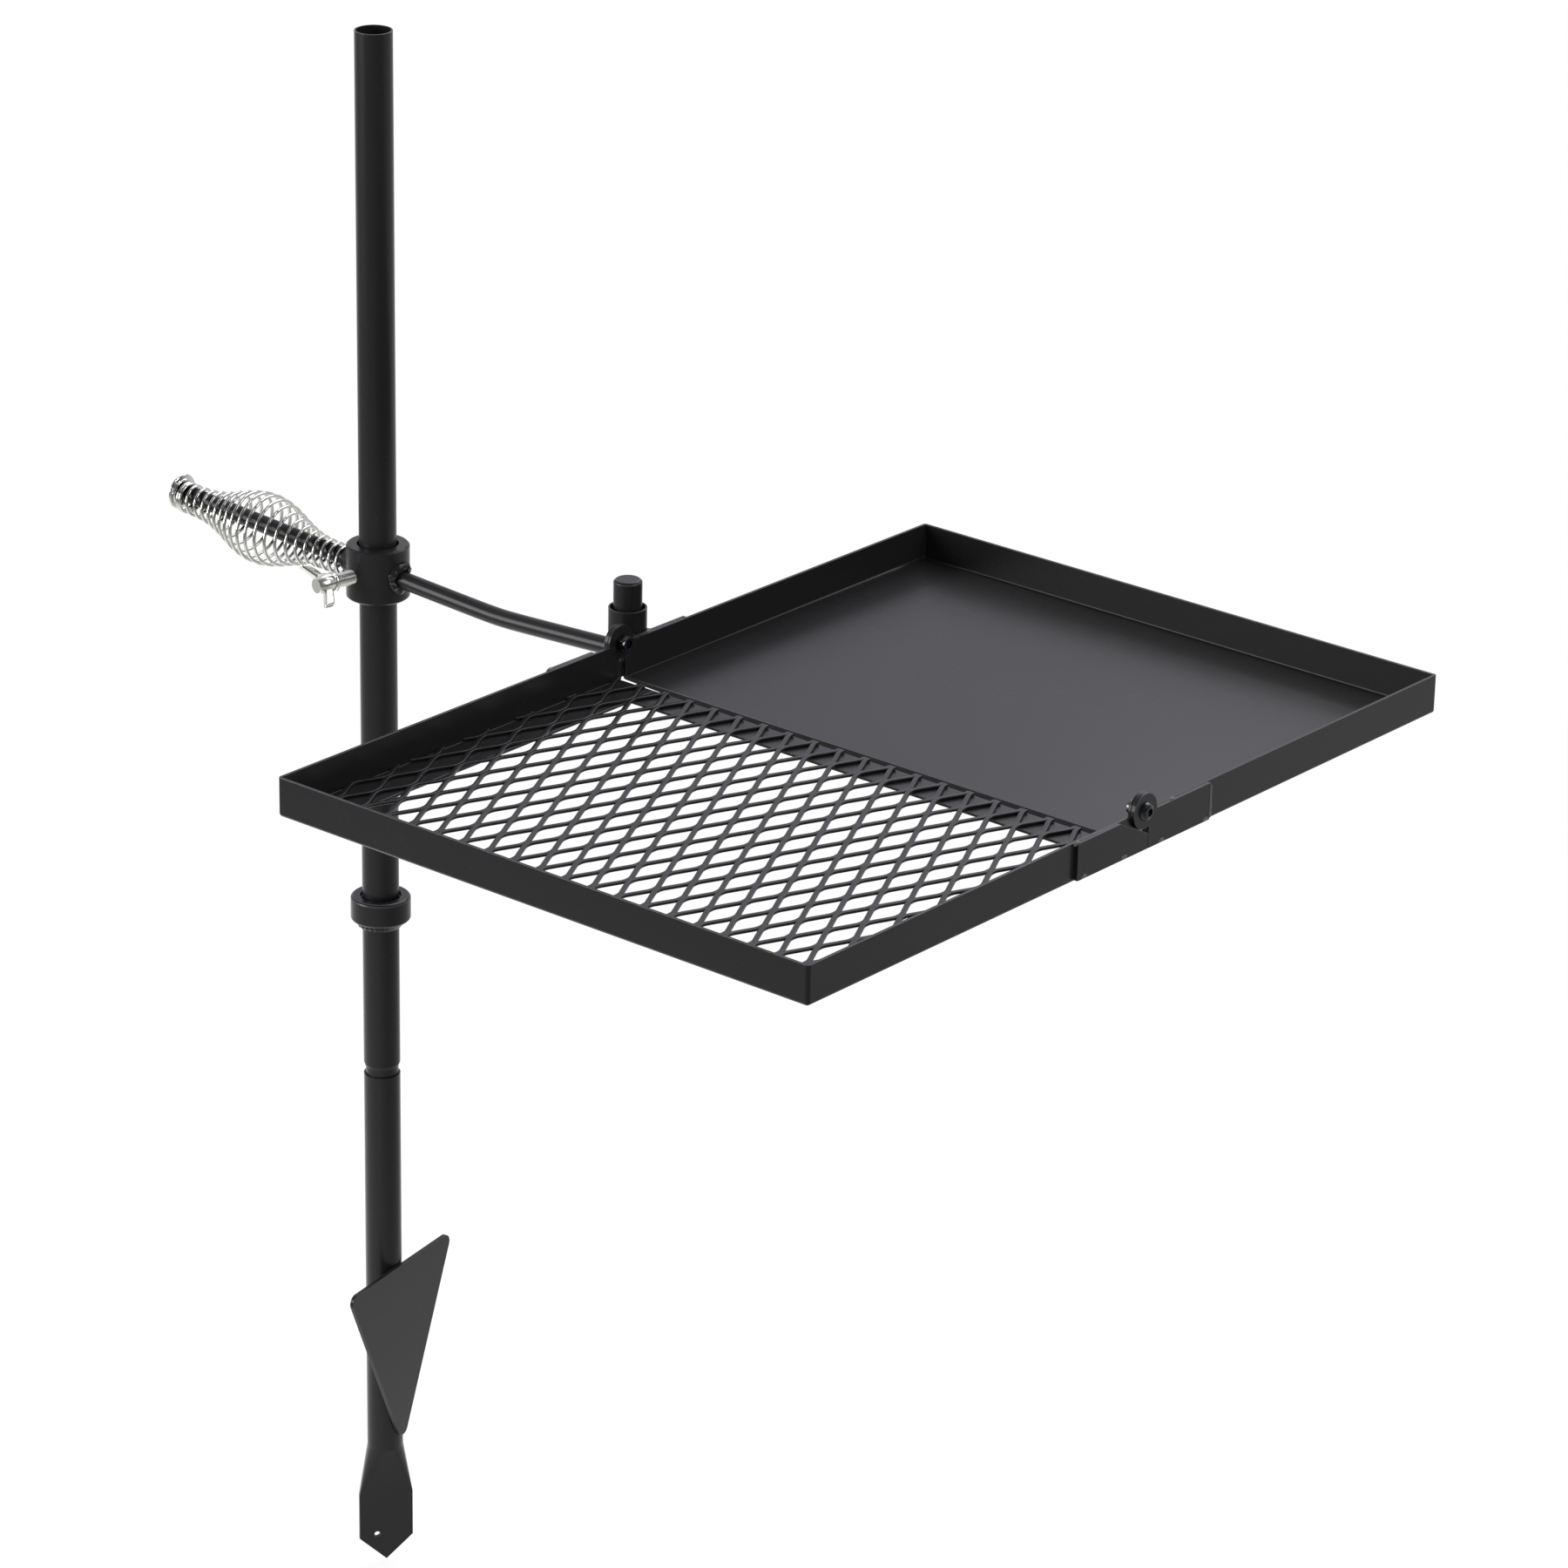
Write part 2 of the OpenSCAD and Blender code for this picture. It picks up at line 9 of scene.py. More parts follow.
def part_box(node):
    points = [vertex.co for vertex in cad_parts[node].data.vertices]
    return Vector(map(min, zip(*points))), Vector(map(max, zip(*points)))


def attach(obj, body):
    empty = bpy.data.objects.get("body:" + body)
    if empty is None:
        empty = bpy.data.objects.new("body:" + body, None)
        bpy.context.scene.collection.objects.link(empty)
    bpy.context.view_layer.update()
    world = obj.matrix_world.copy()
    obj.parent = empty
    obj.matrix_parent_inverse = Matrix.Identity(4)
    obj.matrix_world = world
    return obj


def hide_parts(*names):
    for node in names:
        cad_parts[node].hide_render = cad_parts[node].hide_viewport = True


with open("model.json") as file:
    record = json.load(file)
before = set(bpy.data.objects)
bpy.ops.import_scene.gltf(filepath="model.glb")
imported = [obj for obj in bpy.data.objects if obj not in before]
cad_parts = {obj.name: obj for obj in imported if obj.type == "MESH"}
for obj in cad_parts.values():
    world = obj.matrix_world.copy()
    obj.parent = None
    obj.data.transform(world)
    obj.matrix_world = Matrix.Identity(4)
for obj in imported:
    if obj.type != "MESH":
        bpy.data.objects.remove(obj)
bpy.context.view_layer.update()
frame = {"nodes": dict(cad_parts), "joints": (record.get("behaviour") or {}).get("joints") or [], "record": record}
MM = 0.001


# Sizes taken from the frame, in metres

JOINTS = {joint["name"]: joint for joint in frame["joints"]}
FOLD_AT = Vector(JOINTS["tray_fold"]["pos_m"])
PIN_AT = Vector(JOINTS["tray_swivel"]["pos_m"])
BODIES = frame["record"]["behaviour"]["bodies"]
BODY_OF = {node: body for body, nodes in BODIES.items() for node in nodes}
STAKE_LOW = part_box("stake_tube")[0]
TUBE_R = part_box("upper_post")[1].x
COLLAR_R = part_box("swing_collar")[1].x
RING_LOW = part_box("stop_ring")[0]
PAN_LOW, PAN_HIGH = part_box("griddle_pan")
END_LOW, END_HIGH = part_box("grate_end_rail")
RAIL_LOW, RAIL_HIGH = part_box("grate_back_rail")
BAR_LOW, BAR_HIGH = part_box("grate_fold_bar")
BRACKET_LOW, BRACKET_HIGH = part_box("griddle_bracket_front")
GRATE_BRACKET_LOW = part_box("grate_bracket_front")[0]
SLEEVE_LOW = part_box("pivot_sleeve")[0]
FIN_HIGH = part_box("stake_fin")[1]
TRAY_MID_X = (END_LOW.x + END_HIGH.x) / 2
SHEET = BAR_HIGH.z - BAR_LOW.z
EAR_R = RAIL_HIGH.z - FOLD_AT.z
ROD_Z = PIN_AT.z


# Sizes and angles of the solids that no box gives

ROD_R = 6 * MM
PIN_R = 9.5 * MM
HANDLE_RISE = math.radians(3.5)
SCREW_TURN = math.radians(10)
STAKE_TURN = math.radians(10)


# Colour and node helpers

SMOOTH = {"interpolation_type": "SMOOTHSTEP"}
DOT = {"operation": "DOT_PRODUCT"}
LARGER = {"operation": "MAXIMUM"}
COLOURS = {"data_type": "RGBA"}
LEVELS = {"data_type": "FLOAT"}


def linear(hex_colour):
    """An sRGB hex colour as linear RGBA."""
    channels = [int(hex_colour[i:i + 2], 16) / 255 for i in (1, 3, 5)]
    return [c / 12.92 if c <= 0.04045 else ((c + 0.055) / 1.055) ** 2.4 for c in channels] + [1.0]


def add(tree, kind, settings=None, values=None, links=None):
    """Adds one node: attributes from settings, socket values from values, links from links."""
    node = tree.nodes.new(kind)
    for name, value in (settings or {}).items():
        setattr(node, name, value)
    for socket, value in (values or {}).items():
        node.inputs[socket].default_value = value
    for socket, source in (links or {}).items():
        tree.links.new(source, node.inputs[socket])
    return node


def grain(size_mm, detail, roughness):
    """Values of a noise whose features are about size_mm across."""
    return {"Scale": 1.0 / (size_mm * MM), "Detail": detail, "Roughness": roughness}


def ramp(from_min, from_max, to_min, to_max):
    """Values of a map from one range to another."""
    return {"From Min": from_min, "From Max": from_max, "To Min": to_min, "To Max": to_max}


def new_material(name):
    """An empty node material with its output, and the Object coordinates to draw on."""
    material = bpy.data.materials.new(name)
    material.use_nodes = True
    tree = material.node_tree
    tree.nodes.clear()
    output = add(tree, "ShaderNodeOutputMaterial")
    place = add(tree, "ShaderNodeTexCoord").outputs["Object"]
    return material, tree, output, place


def powder_coat(name, colour, rubbed_and_sheen, roughness, peel_mm, peel_depth_mm):
    """Baked black polyester powder on steel: satin, with a fine orange peel, faint cloudy changes
    of gloss, small pale scuffs, and a thinner, shinier, greyer coat where it draws back from the
    edges; that paler grey on the eased rims is also a painted highlight. The matting in the
    powder keeps its reflection below that of bare resin."""
    material, tree, output, place = new_material(name)
    peel = add(tree, "ShaderNodeTexNoise", None, grain(peel_mm, 2.0, 0.5), {"Vector": place})
    clouds = add(tree, "ShaderNodeTexNoise", None, grain(60, 5.0, 0.65), {"Vector": place})
    grit = add(tree, "ShaderNodeTexNoise", None, grain(6, 8.0, 0.7), {"Vector": place})
    scuff = add(tree, "ShaderNodeMapRange", None, ramp(0.62, 0.82, 0.0, 0.5),
                {"Value": grit.outputs["Fac"]})
    # Eased rims: thinner coat, paler and shinier, and the paler grey is also a painted highlight
    edge = add(tree, "ShaderNodeAttribute", {"attribute_name": "edge_film_and_sheen"})
    pale_film_and_sheen = add(tree, "ShaderNodeMath", LARGER, None,
               {0: scuff.outputs["Result"], 1: edge.outputs["Fac"]})
    tint = add(tree, "ShaderNodeMix", COLOURS, {"A": linear(colour), "B": linear(rubbed_and_sheen)},
               {"Factor": pale_film_and_sheen.outputs[0]})
    satin = add(tree, "ShaderNodeMapRange", None, ramp(0.3, 0.7, *roughness),
                {"Value": clouds.outputs["Fac"]})
    shine = add(tree, "ShaderNodeMix", LEVELS, {"B": roughness[0] * 0.75},
                {"Factor": edge.outputs["Fac"], "A": satin.outputs["Result"]})
    bump = add(tree, "ShaderNodeBump", None, {"Strength": 1.0, "Distance": peel_depth_mm * MM},
               {"Height": peel.outputs["Fac"]})
    shader = add(tree, "ShaderNodeBsdfPrincipled", None, {"IOR": 1.5, "Specular IOR Level": 0.16},
                 {"Base Color": tint.outputs["Result"], "Roughness": shine.outputs["Result"],
                  "Normal": bump.outputs["Normal"]})
    tree.links.new(shader.outputs["BSDF"], output.inputs["Surface"])
    return material


def plated_metal(name, colour, dulled, roughness, cloud_mm, scratch_mm):
    """Plated steel: a bright metal skin with cloudy dull patches and fine handling scratches."""
    material, tree, output, place = new_material(name)
    clouds = add(tree, "ShaderNodeTexNoise", None, grain(cloud_mm, 4.0, 0.6), {"Vector": place})
    scratches = add(tree, "ShaderNodeTexNoise", None, grain(scratch_mm, 3.0, 0.5),
                    {"Vector": place})
    satin = add(tree, "ShaderNodeMapRange", None, ramp(0.3, 0.7, *roughness),
                {"Value": clouds.outputs["Fac"]})
    tint = add(tree, "ShaderNodeMix", COLOURS, {"A": linear(colour), "B": linear(dulled)},
               {"Factor": clouds.outputs["Fac"]})
    bump = add(tree, "ShaderNodeBump", None, {"Strength": 0.4, "Distance": 0.02 * MM},
               {"Height": scratches.outputs["Fac"]})
    shader = add(tree, "ShaderNodeBsdfPrincipled", None, {"Metallic": 1.0},
                 {"Base Color": tint.outputs["Result"], "Roughness": satin.outputs["Result"],
                  "Normal": bump.outputs["Normal"]})
    tree.links.new(shader.outputs["BSDF"], output.inputs["Surface"])
    return material


# Coat on the frame: near black, with a soft grey sheen where a face turns to the light. Its
# # second grey is for scuffs, and on the eased rims it is also a painted highlight
black_coat = powder_coat("satin_black_powder_coat", "#1a1a1b", "#38383a", (0.25, 0.28),
                         peel_mm=1.4, peel_depth_mm=0.008)
# The same coat run over weld: shinier, so that the ripples of a bead catch small lights
weld_coat = powder_coat("powder_coat_over_weld", "#1a1a1b", "#38383a", (0.14, 0.20),
                        peel_mm=1.0, peel_depth_mm=0.010)
# Coat on weld spots: a paler grey that is a painted highlight, so that the spots stand out
# # from the black beside them
spot_highlight_coat = powder_coat("powder_coat_painted_highlight_on_spots", "#4c4c4e", "#6c6c6e", (0.14, 0.20),
                        peel_mm=1.0, peel_depth_mm=0.010)
# Spring and washer: a clear mirror, which shows the white sweep and the dim room side by side
chrome = plated_metal("chrome_plated_wire", "#c6c6c2", "#aeaea9", (0.05, 0.12),
                      cloud_mm=8, scratch_mm=0.8)
# Wing screw: paler and softer than the chrome, with a faint warm tint
zinc = plated_metal("zinc_plated_steel", "#dcdcd5", "#bfbfb8", (0.16, 0.28),
                    cloud_mm=3, scratch_mm=0.6)
# Bolt heads: dark metal with one small sharp light
black_oxide = plated_metal("black_oxide_steel", "#48494b", "#2e2f31", (0.08, 0.15),
                           cloud_mm=3, scratch_mm=0.6)
# Lock nuts: a duller middle grey, with a broad soft light
grey_oxide = plated_metal("grey_phosphated_steel", "#606164", "#47484b", (0.16, 0.28),
                          cloud_mm=3, scratch_mm=0.6)


# Mesh helpers

SOLID_MERGE = 0.002 * MM
MERGE = 0.001 * MM
FLAT_ANGLE = math.radians(0.2)
THIN_ROUND = 1 * MM
BEAD_END = 0.35
BEAD_RISE = 8
TACK_DEPTH = 0.28
TACK_LUMP = 1.6 * MM


def finish_piece(name, mesh, material, body, *nodes, sharp=38):
    """Turns a bmesh into a shaded object that rides on a body and stands for CAD nodes."""
    data = bpy.data.meshes.new(name)
    mesh.to_mesh(data)
    mesh.free()
    data.shade_smooth()
    data.set_sharp_from_angle(angle=math.radians(sharp))
    data.materials.append(material)
    piece = bpy.data.objects.new(name, data)
    bpy.context.scene.collection.objects.link(piece)
    flatten = piece.modifiers.new("flat_faces", "WEIGHTED_NORMAL")
    flatten.keep_sharp = True
    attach(piece, body)
    if nodes:
        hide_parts(*nodes)
    return piece


def round_edges(mesh, edges, radius, segments, clamp=False):
    """Rounds edges evenly and gives back what the round made."""
    return bmesh.ops.bevel(mesh, geom=list(edges), offset=radius, offset_type="OFFSET",
                           affect="EDGES", segments=segments, profile=0.5, material=-1,
                           clamp_overlap=clamp)


def ease_edges(mesh, edges, radius, segments=2):
    """Rounds edges, and notes the new faces as thinly coated where the round is small; the paler
    grey the coat gives them there is partly a painted highlight.
    """
    pale_film_and_sheen = mesh.faces.layers.float.get("edge_film_and_sheen") or mesh.faces.layers.float.new("edge_film_and_sheen")
    rounded = round_edges(mesh, edges, radius, segments, clamp=True)
    if radius < THIN_ROUND:
        for face in rounded["faces"]:
            face[pale_film_and_sheen] = 1.0


def sharp_edges(mesh, degrees=38):
    """Edges where two faces meet at more than a shallow angle."""
    limit = math.radians(degrees)
    return [edge for edge in mesh.edges
            if len(edge.link_faces) == 2 and edge.calc_face_angle(0.0) > limit]


def solid_copy(node):
    """The merged mesh of a CAD node, with its flat faces whole."""
    mesh = bmesh.new()
    mesh.from_mesh(frame["nodes"][node].data)
    bmesh.ops.remove_doubles(mesh, verts=mesh.verts, dist=SOLID_MERGE)
    bmesh.ops.dissolve_limit(mesh, angle_limit=FLAT_ANGLE, verts=mesh.verts, edges=mesh.edges)
    return mesh


def add_spline(curve, points, closed=False):
    """Adds straight legs through points to a curve."""
    spline = curve.splines.new("POLY")
    spline.points.add(len(points) - 1)
    spline.use_cyclic_u = closed
    for control, point in zip(spline.points, points):
        control.co = (*point, 1.0)
    return spline


def curve_mesh(curve):
    """The merged mesh of a curve, which is then removed."""
    holder = bpy.data.objects.new(curve.name, curve)
    bpy.context.scene.collection.objects.link(holder)
    shaped = holder.evaluated_get(bpy.context.evaluated_depsgraph_get())
    data = bpy.data.meshes.new_from_object(shaped)
    mesh = bmesh.new()
    mesh.from_mesh(data)
    bmesh.ops.remove_doubles(mesh, verts=mesh.verts, dist=MERGE)
    bmesh.ops.recalc_face_normals(mesh, faces=mesh.faces)
    bpy.data.objects.remove(holder)
    bpy.data.curves.remove(curve)
    bpy.data.meshes.remove(data)
    return mesh


def tube(name, points, radius, roundness=4, radii=None):
    """A round tube along points, as a bmesh. Radii scale the tube at each point."""
    curve = bpy.data.curves.new(name, "CURVE")
    curve.dimensions = "3D"
    curve.bevel_depth = radius
    curve.bevel_resolution = roundness
    curve.use_fill_caps = True
    spline = add_spline(curve, points)
    for index, control in enumerate(spline.points):
        control.radius = radii[index] if radii else 1.0
    return curve_mesh(curve)


def turned(profile, steps=64):
    """A shape turned on the Z axis from points of radius and height in millimetres."""
    mesh = bmesh.new()
    verts = [mesh.verts.new((radius * MM, 0, height * MM)) for radius, height in profile]
    edges = [mesh.edges.new(pair) for pair in zip(verts, verts[1:])]
    bmesh.ops.spin(mesh, geom=verts + edges, axis=(0, 0, 1), cent=(0, 0, 0), angle=2 * math.pi,
                   steps=steps, use_merge=True)
    bmesh.ops.remove_doubles(mesh, verts=mesh.verts, dist=MERGE)
    bmesh.ops.recalc_face_normals(mesh, faces=mesh.faces)
    return mesh


def bead_radii(points, ripple_mm, depth, seed, lump_mm):
    """Swelling of a weld bead along its run: even ripples, uneven lumps and rounded ends."""
    radii = []
    run = 0.0
    total = sum((b - a).length for a, b in zip(points, points[1:]))
    for index, point in enumerate(points):
        run += (point - points[index - 1]).length if index else 0.0
        wave = math.sin(2 * math.pi * run / (ripple_mm * MM))
        lump = noise.noise(point / (lump_mm * MM) + Vector((seed, 0, 0)))
        ends = min(1.0, BEAD_END + BEAD_RISE * min(run, total - run) / total)
        radii.append(ends * (1 + depth * (0.5 * wave + lump)))
    return radii


def add_bead(mesh, points, radius, ripple_mm, depth, seed, lump_mm=4):
    """Adds a rippled weld bead along points to a mesh."""
    bead = tube("bead", points, radius, radii=bead_radii(points, ripple_mm, depth, seed, lump_mm))
    data = bpy.data.meshes.new("bead")
    bead.to_mesh(data)
    bead.free()
    mesh.from_mesh(data)
    bpy.data.meshes.remove(data)


def add_tack(mesh, at, size, seed):
    """Adds one lumpy spot of weld to a mesh."""
    spot = bmesh.ops.create_icosphere(mesh, subdivisions=3, radius=1.0,
                                      matrix=Matrix.LocRotScale(at, None, size))["verts"]
    for vert in spot:
        away = vert.co - at
        lump = noise.noise(away / TACK_LUMP + Vector((seed, seed, 0)))
        vert.co = at + away * (1 + TACK_DEPTH * lump)


def roughen(mesh, height, size, seed):
    """Pushes a mesh in and out by soft lumps of about one size."""
    mesh.normal_update()
    for vert in mesh.verts:
        vert.co += vert.normal * height * noise.noise(vert.co / size + Vector((seed, 0, seed)))


def straight_run(start, end, steps=24):
    """Evenly spaced points between two places."""
    return [start.lerp(end, step / steps) for step in range(steps + 1)]


def full_turn(steps):
    """Evenly spaced angles once round, with the first again at the end."""
    return [2 * math.pi * step / steps for step in range(steps + 1)]


# Plain pieces: the solids with their edges eased, by a radius in millimetres

EASED = {
    "stake_tube": 0.5, "upper_post": 0.35, "stop_ring": 0.7, "swing_collar": 0.7,
    "pivot_pin": 0.4, "stake_fin": 0.6, "griddle_bracket_back": 0.35,
    "griddle_bracket_front": 0.35, "grate_bracket_back": 0.4, "grate_bracket_front": 0.4,
    "pivot_sleeve": 0.3, "handle_rod": 0.3,
}
BAR_EASE = 0.4
FASTENER_EASE = 0.3 * MM


def eased_solid(node, radius_mm):
    """A coated piece that keeps its solid's shape, with eased edges."""
    mesh = solid_copy(node)
    ease_edges(mesh, sharp_edges(mesh), radius_mm * MM)
    finish_piece(node + "_coated", mesh, black_coat, BODY_OF[node], node)


for node, radius_mm in EASED.items():
    eased_solid(node, radius_mm)

for part, material in (("hinge_bolt", black_oxide), ("hinge_nut", grey_oxide)):
    for node in (part + "_back", part + "_front"):
        mesh = solid_copy(node)
        ease_edges(mesh, sharp_edges(mesh, 28), FASTENER_EASE, segments=3)
        finish_piece(node + "_finished", mesh, material, BODY_OF[node], node)


# Griddle pan: pressed sheet with soft bends, its edge at the fold rolled down into a lip

BEND_OUT = 2.2 * MM
BEND_IN = 1.2 * MM
RIM_EASE = 0.35 * MM
LIP_ROUND = 1.7 * MM
LIP_SHIFT = 120 * MM
LONG_EDGE = 200 * MM
TOUCH = 0.1 * MM


def near(value, *marks):
    """Whether a coordinate lies on one of the marks."""
    return any(abs(value - mark) < TOUCH for mark in marks)


def griddle_pan():
    """The solid's sheet with its bends rounded inside and out, and its rim eased."""
    mesh = solid_copy("griddle_pan")
    floor_low = END_LOW.z
    floor_top = floor_low + SHEET
    sides = (PAN_LOW.x, PAN_HIGH.x)
    inner_sides = (PAN_LOW.x + SHEET, PAN_HIGH.x - SHEET)
    end, inner_end = PAN_HIGH.y, PAN_HIGH.y - SHEET
    # the lip deepens slowly from the back wall, which leaves the slit there open
    middle = (sides[0] + sides[1]) / 2
    lip_foot = [v for v in mesh.verts if v.co.z < floor_low - 1 * MM and v.co.x < middle]
    bmesh.ops.translate(mesh, vec=(LIP_SHIFT, 0, 0), verts=lip_foot)

    def on_wall(vert, walls, back):
        return near(vert.co.x, *walls) or near(vert.co.y, back)

    def bends(level, walls, back):
        low = [e for e in sharp_edges(mesh)
               if all(near(v.co.z, level) and on_wall(v, walls, back) for v in e.verts)]
        upright = [e for e in sharp_edges(mesh)
                   if all(near(v.co.x, *walls) and near(v.co.y, back) for v in e.verts)
                   and not near(e.verts[0].co.z, e.verts[1].co.z)]
        return low + upright

    ease_edges(mesh, bends(floor_low, sides, end), BEND_OUT, segments=4)
    ease_edges(mesh, bends(floor_top, inner_sides, inner_end), BEND_IN, segments=3)
    lip = [e for e in sharp_edges(mesh) if all(near(v.co.z, floor_top) for v in e.verts)
           and abs(e.verts[0].co.x - e.verts[1].co.x) > LONG_EDGE]
    ease_edges(mesh, lip, LIP_ROUND, segments=4)
    ease_edges(mesh, sharp_edges(mesh), RIM_EASE)
    finish_piece("griddle_pan_coated", mesh, black_coat, "griddle", "griddle_pan")


griddle_pan()


# Grate frame: one sheet folded up on three sides with a wide flange, and the ears for the hinge
# bolts. Both are drawn here, because the solids leave the rails as three separate angles.

FLANGE_W = RAIL_HIGH.x - RAIL_LOW.x
GRATE_BEND = BEND_OUT + 0.4 * MM
EAR_STEPS = 56
EAR_INSET = 0.03 * MM


def grate_frame():
    """A tray of sheet without its open side, cut out in the middle and given its thickness."""
    low = END_LOW
    high = Vector((END_HIGH.x, BAR_HIGH.y, END_HIGH.z))
    mesh = bmesh.new()
    bmesh.ops.create_cube(mesh, size=1.0,
                          matrix=Matrix.LocRotScale((low + high) / 2, None, high - low))
    mesh.normal_update()
    open_faces = [f for f in mesh.faces if f.normal.z > 0.5 or f.normal.y > 0.5]
    bmesh.ops.delete(mesh, geom=open_faces, context="FACES")
    inward, forward = Vector((FLANGE_W, 0, 0)), Vector((0, FLANGE_W, 0))
    cuts = ((low + inward, (1, 0, 0)), (high - inward, (1, 0, 0)), (low + forward, (0, 1, 0)))
    for place, across in cuts:
        flat = [f for f in mesh.faces if f.normal.z < -0.5]
        rim = list({e for f in flat for e in f.edges} | {v for f in flat for v in f.verts})
        bmesh.ops.bisect_plane(mesh, geom=flat + rim, plane_co=place, plane_no=across)
        mesh.normal_update()
    inside = [f for f in mesh.faces if f.normal.z < -0.5
              and low.x + FLANGE_W < f.calc_center_median().x < high.x - FLANGE_W
              and f.calc_center_median().y > low.y + FLANGE_W]
    bmesh.ops.delete(mesh, geom=inside, context="FACES")
    bmesh.ops.dissolve_limit(mesh, angle_limit=FLAT_ANGLE, verts=mesh.verts, edges=mesh.edges)
    round_edges(mesh, sharp_edges(mesh), GRATE_BEND, segments=4)
    bmesh.ops.solidify(mesh, geom=mesh.faces[:], thickness=SHEET)
    bmesh.ops.recalc_face_normals(mesh, faces=mesh.faces)
    ease_edges(mesh, sharp_edges(mesh, 60), RIM_EASE)
    finish_piece("grate_frame_coated", mesh, black_coat, "grate",
                 "grate_back_rail", "grate_front_rail", "grate_end_rail")


def hinge_ear(name, middle):
    """A round ear standing on the wall's rim, in the plane of the wall."""
    curve = bpy.data.curves.new(name, "CURVE")
    curve.dimensions = "2D"
    curve.fill_mode = "BOTH"
    curve.bevel_depth = RIM_EASE
    curve.bevel_resolution = 1
    curve.offset = -RIM_EASE
    curve.extrude = SHEET / 2 - EAR_INSET - RIM_EASE
    add_spline(curve, [(FOLD_AT.y + EAR_R * math.cos(a), FOLD_AT.z + EAR_R * math.sin(a), 0)
                       for a in full_turn(EAR_STEPS)[:-1]], closed=True)
    mesh = curve_mesh(curve)
    upright = Matrix(((0, 0, 1, middle), (1, 0, 0, 0), (0, 1, 0, 0), (0, 0, 0, 1)))
    bmesh.ops.transform(mesh, matrix=upright, verts=mesh.verts)
    finish_piece(name, mesh, black_coat, "grate")


grate_frame()
hinge_ear("hinge_ear_back", RAIL_LOW.x + SHEET / 2)
hinge_ear("hinge_ear_front", END_HIGH.x - SHEET / 2)


# Expanded mesh: zigzag strands slit and drawn from one sheet, straight between their bonds and
# tilted as the slitting leaves them. The rows lean a little, as the sheet was laid in. A flat bar
# closes the frame at the fold.

MESH_SHORT = 20.83 * MM
MESH_LONG = 44.6 * MM
MESH_LEAN = -0.039
LEAF_AT = Vector((455.5 * MM, -185.3 * MM, 0))
STRAND_W = 3.4 * MM
STRAND_T = 1.9 * MM
STRAND_EASE = 0.4 * MM
STRAND_TILT = math.radians(5)
STRAND_STEPS = 10
BOND_SHARE = 0.74
BOND_OVERLAP = 0.36
BEND_POWER = 10


def strand_profile():
    """Cross-section of a strand: a flat strip with eased corners, tilted up on its outer side."""
    profile = bpy.data.curves.new("strand_profile", "CURVE")
    profile.dimensions = "2D"
    half_w, half_t, ease = STRAND_W / 2, STRAND_T / 2, STRAND_EASE
    corners = [(half_w - ease, half_t), (half_w, half_t - ease), (half_w, -half_t + ease),
               (half_w - ease, -half_t), (-half_w + ease, -half_t), (-half_w, -half_t + ease),
               (-half_w, half_t - ease), (-half_w + ease, half_t)]
    tilt = Matrix.Rotation(STRAND_TILT, 2)
    add_spline(profile, [(*(tilt @ Vector(corner)), 0) for corner in corners], closed=True)
    holder = bpy.data.objects.new("strand_profile", profile)
    bpy.context.scene.collection.objects.link(holder)
    return holder


def grate_mesh():
    """Strands side by side across the grate, each the mirror of the next, trimmed to its box."""
    low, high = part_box("grate_mesh")
    swing = MESH_SHORT / 4 - BOND_OVERLAP * STRAND_W
    level = low.z + (STRAND_W * math.sin(STRAND_TILT) + STRAND_T * math.cos(STRAND_TILT)) / 2
    profile = strand_profile()
    curve = bpy.data.curves.new("grate_strands", "CURVE")
    curve.dimensions = "3D"
    curve.twist_mode = "Z_UP"
    curve.bevel_mode = "OBJECT"
    curve.bevel_object = profile
    first = math.floor((low.x - LEAF_AT.x) * 2 / MESH_SHORT) - 2
    last = math.ceil((high.x - LEAF_AT.x) * 2 / MESH_SHORT) + 2
    start = math.floor((low.y - LEAF_AT.y) * 2 / MESH_LONG) - 1
    stop = math.ceil((high.y - LEAF_AT.y) * 2 / MESH_LONG) + 1
    for column in range(first, last):
        middle = LEAF_AT.x + (2 * column + 1) * MESH_SHORT / 4
        points = []
        for step in range((stop - start) * STRAND_STEPS + 1):
            run = start + step / STRAND_STEPS
            phase = run + column
            lean = (2 * abs((phase % 2) - 1) - 1) / BOND_SHARE
            zigzag = lean / (1 + lean ** BEND_POWER) ** (1 / BEND_POWER)
            y = LEAF_AT.y + run * MESH_LONG / 2
            x = middle + swing * zigzag
            points.append((x + MESH_LEAN * (y - LEAF_AT.y), y, level))
        add_spline(curve, points)
    mesh = curve_mesh(curve)
    bpy.data.objects.remove(profile)
    for corner, out in ((low, (-1, 0, 0)), (low, (0, -1, 0)), (high, (1, 0, 0)), (high, (0, 1, 0))):
        whole = mesh.verts[:] + mesh.edges[:] + mesh.faces[:]
        bmesh.ops.bisect_plane(mesh, geom=whole, plane_co=corner, plane_no=out, clear_outer=True)
    bmesh.ops.holes_fill(mesh, edges=[e for e in mesh.edges if e.is_boundary], sides=0)
    bmesh.ops.recalc_face_normals(mesh, faces=mesh.faces)
    finish_piece("grate_mesh_strands", mesh, black_coat, "grate", "grate_mesh", sharp=50)


grate_mesh()
eased_solid("grate_fold_bar", BAR_EASE)


# Arm: one rod drawn round a shallow bend, welded to the collar and to the pin

ARM_START = COLLAR_R * 0.9
ARM_DIP = 6 * MM
ARM_EASING = 12 * MM
ARM_STEPS = 40
WELD_R = 6.6 * MM


